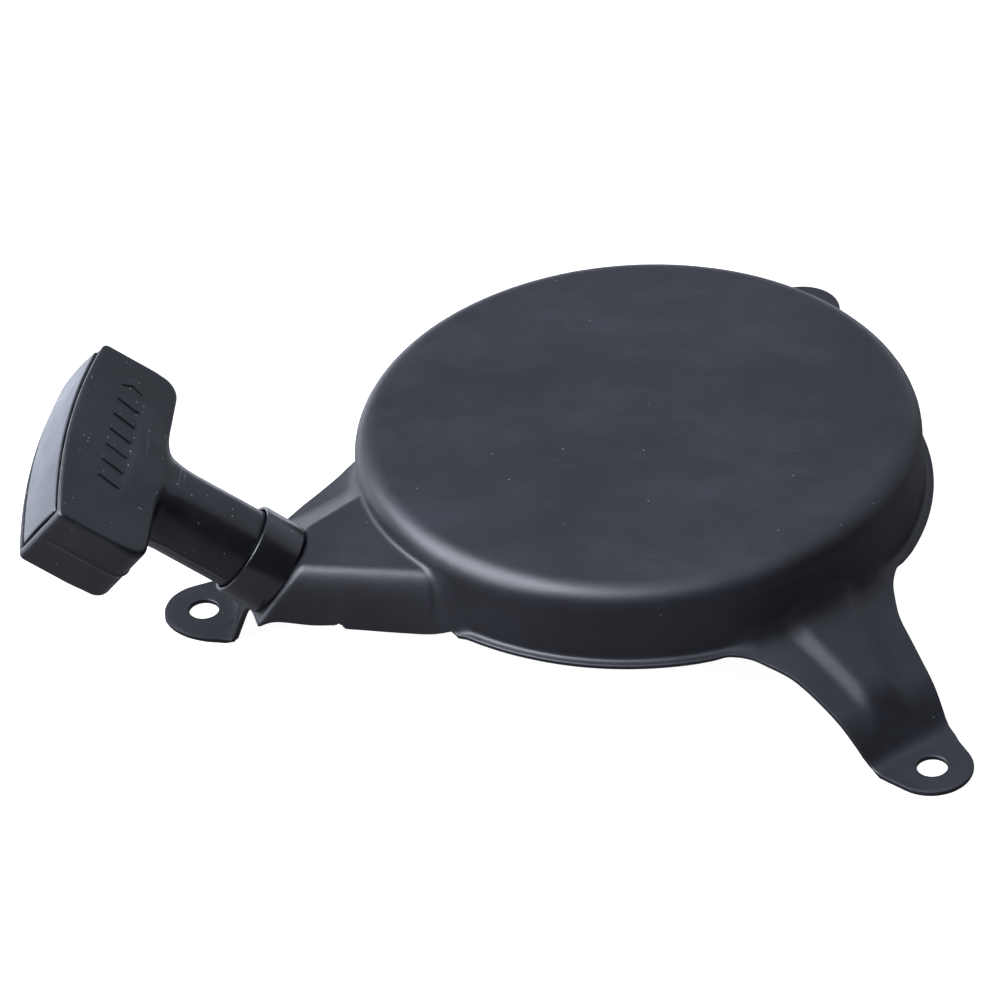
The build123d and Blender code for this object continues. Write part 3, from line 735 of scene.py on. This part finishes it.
def housing_section(angle, edge, upper, travel):
    """Points of one column from the flat top to the edge, in the column's (radius, height)."""
    along_sheet = np.linspace(CUP_R - 1, edge, SAMPLES)
    height = sheet_height(along_sheet * cos(angle), along_sheet * sin(angle))
    low = np.interp(CUP_R + 0.4, along_sheet, height)
    meet = np.interp(-low, -upper[:, 1], travel)
    corner = np.array((np.interp(meet, travel, upper[:, 0]), low))
    reach = min(np.interp(low, *CORNER_REACH), 0.8 * (edge - RIM_ROUND - corner[0]))
    begin = meet - reach
    s = np.linspace(0, begin, UPPER_ROWS)
    top = np.stack([np.interp(s, travel, upper[:, 0]), np.interp(s, travel, upper[:, 1])], -1)
    end_r = corner[0] + reach
    end = np.array((end_r, np.interp(end_r, along_sheet, height)))
    t = np.linspace(0, 1, CORNER_ROWS + 1, endpoint=False)[1:, None]
    bend = (1 - t) ** 2 * top[-1] + 2 * t * (1 - t) * corner + t ** 2 * end
    dense_r = np.linspace(end_r, edge - RIM_ROUND, FINE_SAMPLES)
    dense_z = np.interp(dense_r, along_sheet, height)
    length = np.concatenate([[0], np.cumsum(np.hypot(np.diff(dense_r), np.diff(dense_z)))])
    at = np.interp(np.linspace(0, length[-1], OUTER_ROWS), length, dense_r)
    outer = np.stack([at, np.interp(at, along_sheet, height)], -1)
    return np.vstack([top, bend, outer])


def make_housing():
    """Pressing as columns round the cup: top, rounded rim and underside, closed in the middle."""
    columns, edges = edge_radius()
    upper = cup_line()
    travel = np.concatenate([[0], np.cumsum(np.hypot(*np.diff(upper, axis=0).T))])
    sections = np.array([housing_section(a, e, upper, travel) for a, e in zip(columns, edges)])
    flat = np.array([(r, CUP_TOP) for r in FLAT_RINGS])
    sections = np.concatenate([np.broadcast_to(flat, (COLUMNS, len(flat), 2)), sections], 1)
    r, z = sections[..., 0], sections[..., 1]
    top = np.stack([r * np.cos(columns)[:, None], r * np.sin(columns)[:, None], z], -1)
    down = np.gradient(top, axis=1)
    around = np.roll(top, -1, 0) - np.roll(top, 1, 0)
    normal = np.cross(down, around)
    normal /= np.linalg.norm(normal, axis=2)[..., None]
    normal[:, :len(flat)] = (0, 0, 1)
    edge_way = np.cross(around[:, -1], normal[:, -1])
    edge_way /= np.linalg.norm(edge_way, axis=1)[:, None]
    last, last_n = top[:, -1], normal[:, -1]
    rim = []
    for a in (pi / 4, pi / 2):
        rim.append(last + RIM_ROUND * (sin(a) * edge_way - (1 - cos(a)) * last_n))
    for a in (pi / 2, pi / 4):
        rim.append(last + RIM_ROUND * sin(a) * edge_way - (SHEET - RIM_ROUND * (1 - cos(a))) * last_n)
    under = (top - normal * SHEET)[:, ::-1]
    loop = np.concatenate([top, np.stack(rim, 1), under], 1)
    rows = loop.shape[1]
    points = loop.transpose(1, 0, 2).reshape(-1, 3)
    faces = grid_faces(rows, COLUMNS)[:, ::-1].tolist()
    centres = len(points)
    points = np.vstack([points, (0, 0, CUP_TOP), (0, 0, CUP_TOP - SHEET)])
    bottom = (rows - 1) * COLUMNS
    for i in range(COLUMNS):
        j = (i + 1) % COLUMNS
        faces.append((i, j, centres))
        faces.append((bottom + j, bottom + i, centres + 1))
    piece = make_piece("housing_pressing", points, faces, None, "coated_steel", ("housing",), 50)
    cutters = [hole_cutter(place) for place in EAR_ANGLES]
    low, high = CUTTER_REACH
    bore = [(0, low), (SPIGOT_R, low), (SPIGOT_R, high), (0, high)]
    cutters.append(lathe("outlet_cutter", bore, None, "coated_steel", sides=64))
    cut(piece, cutters)
    piece.data.set_sharp_from_angle(angle=radians(35))
    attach(piece, "case")


def hole_cutter(place):
    """Round cutter whose ends flare, so that the bolt hole gets rounded edges."""
    arc = np.linspace(0, pi / 2, 5)
    low = [(EAR_HOLE_R + HOLE_ROUND * (1 - sin(a)), HOLE_ROUND * (1 - cos(a))) for a in arc]
    high = [(r, SHEET - z) for r, z in reversed(low)]
    below, above = HOLE_CUTTER_REACH
    profile = [(0.01, below), (low[0][0], below), *low, *high, (high[-1][0], above), (0.01, above)]
    a = radians(place)
    centre = np.array((EAR_CIRCLE_R * cos(a), EAR_CIRCLE_R * sin(a), 0.0))
    return lathe("hole_cutter", profile, None, "coated_steel", sides=48, place=lambda p: p + centre)


make_housing()


# ---------------------------------------------------------------- outlet guide
GUIDE_MOUTH_R = 10.2
GUIDE_INNER_R = 10.0
GUIDE_HOLE_R = 4.0
SPIGOT_END = -3.2
GUIDE_ROUNDS = (0.3, 0.0, 0.5, 0.75, 0.3, 0.8, 0.2, 0.3)            # of the section's corners in turn


def make_guide():
    """Moulded collar: a spigot in the tower's hole, a shoulder on the sheet and an open cup for the stem."""
    section = [(SPIGOT_R, SPIGOT_END), (SPIGOT_R, 0), (GUIDE_R + 0.05, 0), (GUIDE_R, GUIDE_LENGTH),
               (GUIDE_MOUTH_R, GUIDE_LENGTH), (GUIDE_INNER_R, GUIDE_FLOOR), (GUIDE_HOLE_R, GUIDE_FLOOR),
               (GUIDE_HOLE_R, SPIGOT_END)]
    profile = rounded(section, GUIDE_ROUNDS, 6)
    lathe("rope_collar", profile, "case", "guide_plastic", ("rope_guide",))


make_guide()


# ---------------------------------------------------------------- handle, in the outlet's frame
BAR_HALF_THICK = 9.5
BAR_HALF_LENGTH = 27.4
BAR_SHIFT = 0.2
BAR_START = 36.7
BAR_START_SLOPE = 0.040
BAR_TILT = radians(2.0)
TILT_CENTRE = 7.0
BAR_TOP = 61.5
BAR_LIMIT = BAR_TOP + 4             # height to which the side shapes run before a crown ends them
BAR_EDGE_R = (0.8, 0.7)             # rounding of the bar's long edges, and how much more it is below
SHOULDER_R = 4.6
CROWN = 3.0                         # fall of the bar's top from its middle to its ends
CROWN_R = (BAR_HALF_LENGTH ** 2 + CROWN ** 2) / (2 * CROWN)
CAP_HALF_LENGTH = 25.9
CAP_HALF_THICK = 7.9
CAP_SHIFT = 0.7
CAP_OFFSET = (-0.25, 0.15)          # the insert sits this much off the middle of its recess
CAP_GAP = 0.65
CAP_RISE = 0.5
CAP_FLOOR = 55.9
CAP_SLOPE = 0.008
CAP_CROWN_R = 80.0                  # across the insert
STEM_R = 9.8
STEM_FLAT = 9.3                     # half the stem's thickness, a little flattened
STEM_START = 4.2
STEM_END = 44.0
NECK_START = 27.0
NECK_LENGTH = 12.0
NECK_SPREAD = 5.5                   # growth of the stem's half width over that length
NECK_POWER = 2.4
NECK_BLEND = 3.1
PARTING_PLACE = (-1.5, 0.4)         # across the handle: where the mould's halves met on the stem and the bar
PARTING_HEIGHT = 0.30
PARTING_WIDTH = 0.38
KNOT_SEAT = 44.0
KNOT_POCKET_R = 7.2
ROPE_BORE_R = 3.0
GRIP_BOX = ((-10.6, -28.8, 3.4), (10.6, 28.8, 62.6))
CAP_BOX = ((-8.4, -26.6, 54.2), (8.4, 27.0, 63.6))
NET_STEP = 0.45
MARK_BARS = 6
MARK_START = -11.5
MARK_PITCH = 4.8
MARK_LOW, MARK_HIGH = 46.4, 52.2
MARK_WIDTH = 1.0
MARK_SLANT = 1.2
MARK_HEIGHT = 0.35
MARK_BEVEL = 0.14
ARROW_GAP = 0.8
ARROW_LENGTH = 4.4


def side_shape(y, z, half_length, low, low_round, high_round, top):
    """Distance in side view to the bar: rounded shoulders below, a crowned top."""
    middle, half = (low + BAR_LIMIT) / 2, (BAR_LIMIT - low) / 2
    qy, qz = np.abs(y) - half_length + low_round, np.abs(z - middle) - half + low_round
    box = np.hypot(np.maximum(qy, 0), np.maximum(qz, 0)) + np.minimum(np.maximum(qy, qz), 0) - low_round
    flat = np.abs(y) - half_length
    box = np.where(z > middle, flat, box)
    crown = np.hypot(y, z - top + CROWN_R) - CROWN_R
    return smooth_max(box, crown, high_round)


def slab(shape, thickness, rounding):
    """Rounds the meeting of a side view and the faces across it."""
    a, b = shape + rounding, thickness + rounding
    return np.minimum(np.maximum(a, b), 0) + np.hypot(np.maximum(a, 0), np.maximum(b, 0)) - rounding


def to_handle(points):
    """Points given in the handle's frame, which leans a little in the outlet, in the part's frame."""
    x, y, z = np.asarray(points, float).T
    z = z - TILT_CENTRE
    lean = (x, y * cos(BAR_TILT) - z * sin(BAR_TILT), y * sin(BAR_TILT) + z * cos(BAR_TILT) + TILT_CENTRE)
    return to_outlet(np.stack(lean, -1), HANDLE_ROLL)


def stem_field(x, y, z):
    """Stem that widens along the bar towards its neck."""
    spread = NECK_SPREAD * np.clip((z - NECK_START) / NECK_LENGTH, 0, 1.3) ** NECK_POWER
    across = STEM_R - 0.1 + spread
    oval = (np.sqrt((x / STEM_R) ** 2 + (y / across) ** 2) - 1) * STEM_R
    oval = smooth_max(oval, np.abs(x) - STEM_FLAT, 0.5)
    return smooth_max(smooth_max(oval, STEM_START - z, 1.0), z - STEM_END, 1.0)


def grip_field(x, y, z):
    """Grip: bar and stem in one, with the mould's parting line, less the insert's recess and the bore."""
    low = BAR_START + BAR_START_SLOPE * y
    shape = side_shape(y - BAR_SHIFT, z, BAR_HALF_LENGTH, low, SHOULDER_R, 1.2, BAR_TOP)
    bar = slab(shape, np.abs(x) - BAR_HALF_THICK, BAR_EDGE_R[0] + BAR_EDGE_R[1] * ramp(46, 40, z))
    on_stem, on_bar = PARTING_PLACE
    off = x - on_stem - (on_bar - on_stem) * ramp(31, 36, z)
    ridge = PARTING_HEIGHT * np.exp(-(off / PARTING_WIDTH) ** 2) * (z < CAP_FLOOR)
    body = smooth_min(bar, stem_field(x, y, z), NECK_BLEND) - ridge
    recess = side_shape(y - CAP_SHIFT, z, CAP_HALF_LENGTH, CAP_FLOOR, 0.5, 0.1, BAR_LIMIT)
    body = smooth_max(body, -slab(recess, np.abs(x) - CAP_HALF_THICK, 0.5), 0.6)
    bore = np.hypot(x, y) - np.where(z > KNOT_SEAT, KNOT_POCKET_R, ROPE_BORE_R)
    return np.maximum(body, -bore)


def cap_field(x, y, z):
    """Insert, crowned both ways, in its recess with a gap round it."""
    across, along = x - CAP_OFFSET[0], y - CAP_SHIFT - CAP_OFFSET[1]
    crowned = z + x ** 2 / (2 * CAP_CROWN_R) - CAP_SLOPE * y
    top = BAR_TOP + CAP_RISE
    side = side_shape(along, crowned, CAP_HALF_LENGTH - CAP_GAP, CAP_FLOOR + 0.1, 0.5, 0.4, top)
    return slab(side, np.abs(across) - CAP_HALF_THICK + CAP_GAP, 0.3)


def make_handle():
    step = NET_STEP
    points, faces = surface_net(grip_field, *GRIP_BOX, step)
    make_piece("t_grip", to_handle(points), faces, "handle", "grip_rubber", ("handle_grip",), 60)
    points, faces = surface_net(cap_field, *CAP_BOX, step)
    make_piece("grip_insert", to_handle(points), faces, "handle", "cap_plastic", ("handle_cap",), 60)


def raised_mark(plan):
    """Low solid with a bevelled top from a plan outline (y, z) on the bar's upper face."""
    plan = np.asarray(plan, float)
    middle = plan.mean(0)
    levels = BAR_HALF_THICK + np.array((-0.4, 0.6 * MARK_HEIGHT, MARK_HEIGHT))
    rings = []
    for inset, level in zip((0.0, 0.0, MARK_BEVEL), levels):
        away = plan - middle
        ring = middle + away * (1 - inset / np.linalg.norm(away, axis=1).min())
        rings.append(np.column_stack([np.full(len(plan), level), ring]))
    faces = grid_faces(3, len(plan)).tolist()
    faces += [list(range(len(plan)))[::-1], list(range(2 * len(plan), 3 * len(plan)))]
    return np.vstack(rings), faces


def make_marks():
    """Plain slanted bars and an arrowhead, moulded on the bar's upper face."""
    plans = []
    for i in range(MARK_BARS):
        y = MARK_START + i * MARK_PITCH
        top = y + MARK_SLANT
        low_side = [(y, MARK_LOW), (y + MARK_WIDTH, MARK_LOW)]
        plans.append(low_side + [(top + MARK_WIDTH, MARK_HIGH), (top, MARK_HIGH)])
    back = MARK_START + MARK_BARS * MARK_PITCH + ARROW_GAP
    middle = (MARK_LOW + MARK_HIGH) / 2
    tip, notch = (back + ARROW_LENGTH, middle), (back + MARK_SLANT, middle)
    plans.append([(back, MARK_LOW), tip, (back, MARK_HIGH), notch])
    points, faces = [], []
    for plan in plans:
        start = sum(map(len, points))
        mark_points, mark_faces = raised_mark(plan)
        faces += [[i + start for i in face] for face in mark_faces]
        points.append(mark_points)
    make_piece("grip_marks", to_handle(np.vstack(points)), faces, "handle", "grip_rubber", (), 30)


make_handle()
make_marks()


# ---------------------------------------------------------------- rope
TURN_ROWS = (20.85, 24.35, 24.35, 20.85)        # height of each turn on the reel
TURN_RADII = (35.55, 35.55, 39.05, 39.05)
TURN_STEPS = 96
TURN_START = radians(62)
TURN_STEP = 0.88                    # share of a turn after which it moves over to the next
KNOT_DEPTH = 1.5                    # the lead ends this far inside the handle's knot


def make_rope_turns():
    """Two rows of rope in two layers on the reel's hub, each turn stepping to the next over a short arc."""
    count = len(TURN_ROWS)
    turn = np.linspace(0, count, count * TURN_STEPS + 1)[:-1]
    step = ramp(TURN_STEP, 1.0, turn % 1)
    now = turn.astype(int)
    then = np.minimum(now + 1, count - 1)
    z = np.take(TURN_ROWS, now) + (np.take(TURN_ROWS, then) - np.take(TURN_ROWS, now)) * step
    r = np.take(TURN_RADII, now) + (np.take(TURN_RADII, then) - np.take(TURN_RADII, now)) * step
    a = TURN_START + 2 * pi * turn
    points, faces = tube(np.stack([r * np.cos(a), r * np.sin(a), z], -1), ROPE_R - 0.03, 16)
    make_piece("rope_turns", points, faces, "reel", "rope", ("rope_wound",), 60)


def make_rope_lead():
    """Rope from the reel, round the guide's eyelet and up the outlet to the handle's knot."""
    inside = [(-8.0, -39.1, 23.6), (-20.0, -39.2, 22.9), (-36.0, -39.2, 22.6), (-54.0, -39.2, 22.6),
              (-66.0, -39.2, 22.6), (-72.0, -39.2, 22.9)]
    outlet = to_outlet([(0, 0, s) for s in (-2.0, 3.0, 12.0, 22.0, 33.0, KNOT_SEAT + KNOT_DEPTH)])
    points, faces = tube(through(np.vstack([inside, outlet]), 14), ROPE_R, 20)
    piece = make_piece("rope_line", points, faces, None, "rope", ("rope_lead",), 60)
    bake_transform(piece)


make_rope_turns()
make_rope_lead()


# ---------------------------------------------------------------- stage, in metres and watts
# each light: name, place, aim, (width, height), power
LIGHTS = (
    ("key", (-1.14, -0.39, 1.24), (-0.04, -0.03, 0.03), (1.60, 1.60), 89.0),
    ("left", (-1.72, 0.23, 0.82), (-0.05, -0.02, 0.03), (1.28, 1.02), 26.0),
    ("front", (-0.42, -0.86, 1.67), (0.0, -0.05, 0.03), (1.28, 0.76), 15.0),
)
LIGHT_TINT = (0.85, 0.89, 1.0)
# each lobe: direction, reach along it where it starts and where it is full, strength
STUDIO_LOBES = (
    ((-0.1, -0.1, 1.0), 0.55, 0.98, 1.03),      # above
    ((-0.2, 0.9, 0.45), 0.55, 0.97, 0.54),      # behind
    ((0.72, 0.52, 0.46), 0.74, 1.0, 0.75),      # right
)
STUDIO_BASE = 0.02
STUDIO_COLOUR = (0.79, 0.85, 1.0, 1)
FLOOR_LOBES = (
    ((-0.55, 0.83, 0), 0.0, 0.3, 0.66),         # behind
    ((-0.9, -0.44, 0), 0.05, 0.22, 0.05),       # near and left
)
FLOOR_BASE = 0.11
FLOOR_SIZE = 30
WHITE = (1, 1, 1, 1)
PAPER_GREY = (0.3, 0.3, 0.3, 1)
PAPER_GLOW = 0.97


def area_light(name, place, aim, size, power):
    lamp = bpy.data.objects.new(name, bpy.data.lights.new(name, "AREA"))
    bpy.context.scene.collection.objects.link(lamp)
    lamp.data.shape = "RECTANGLE"
    lamp.data.size, lamp.data.size_y = size
    lamp.data.energy = power
    lamp.data.color = LIGHT_TINT
    lamp.location = place
    way = Vector(aim) - Vector(place)
    lamp.visible_camera = False
    lamp.rotation_mode = "QUATERNION"
    lamp.rotation_quaternion = way.to_track_quat("-Z", "Y")


class Backdrop:
    """Shader nodes of the paper and the studio round it."""

    def __init__(self, owner):
        owner.use_nodes = True
        self.nodes, self.links = owner.node_tree.nodes, owner.node_tree.links
        self.nodes.clear()

    def add(self, kind, *inputs, operation=None):
        made = self.nodes.new("ShaderNode" + kind)
        if operation:
            made.operation = operation
        for i, value in enumerate(inputs):
            if hasattr(value, "links"):
                self.links.new(value, made.inputs[i])
            else:
                made.inputs[i].default_value = value
        return made.outputs[0] if made.outputs else None

    def lobe(self, way, direction, low, high, strength):
        """Strength times a smooth step, from low to high, of how far the input reaches in a direction."""
        near = self.nodes.new("ShaderNodeVectorMath")
        near.operation = "DOT_PRODUCT"
        self.links.new(way, near.inputs[0])
        near.inputs[1].default_value = Vector(direction).normalized()
        step = self.nodes.new("ShaderNodeMapRange")
        step.interpolation_type = "SMOOTHSTEP"
        self.links.new(near.outputs["Value"], step.inputs["Value"])
        for key, value in (("From Min", low), ("From Max", high), ("To Max", strength)):
            step.inputs[key].default_value = value
        return step.outputs["Result"]

    def shade(self, way, lobes, base):
        """Sum of some lobes over a base."""
        total = base
        for lobe in lobes:
            total = self.add("Math", total, self.lobe(way, *lobe), operation="ADD")
        return total

    def coordinate(self, space):
        return self.nodes.new("ShaderNodeTexCoord").outputs[space]

    def seen_by_camera(self):
        return self.nodes.new("ShaderNodeLightPath").outputs["Is Camera Ray"]


def add_floor():
    """White paper to the camera, a shade of grey to all other rays, and clear from below."""
    bpy.ops.mesh.primitive_plane_add(size=FLOOR_SIZE)
    floor = bpy.context.object
    floor.name = "floor"
    paper = bpy.data.materials.new("paper")
    b = Backdrop(paper)
    shade = b.shade(b.coordinate("Object"), FLOOR_LOBES, FLOOR_BASE)
    around = b.add("BsdfDiffuse", b.add("CombineColor", shade, shade, shade))
    seen = b.add("AddShader", b.add("BsdfDiffuse", PAPER_GREY), b.add("Emission", WHITE, PAPER_GLOW))
    front = b.add("MixShader", b.seen_by_camera(), around, seen)
    back = b.nodes.new("ShaderNodeNewGeometry").outputs["Backfacing"]
    b.add("OutputMaterial", b.add("MixShader", back, front, b.add("BsdfTransparent")))
    floor.data.materials.append(paper)


def add_studio():
    """White to the camera; to the part, light from above, behind and the right, and dark in front."""
    world = bpy.data.worlds.new("studio")
    b = Backdrop(world)
    light = b.shade(b.coordinate("Generated"), STUDIO_LOBES, STUDIO_BASE)
    soft = b.add("Background", STUDIO_COLOUR, light)
    white = b.add("Background", WHITE, 1.0)
    b.add("OutputWorld", b.add("MixShader", b.seen_by_camera(), soft, white))
    bpy.context.scene.world = world
    for light in LIGHTS:
        area_light(*light)
    bpy.context.scene.view_settings.view_transform = "Standard"


add_floor()
add_studio()
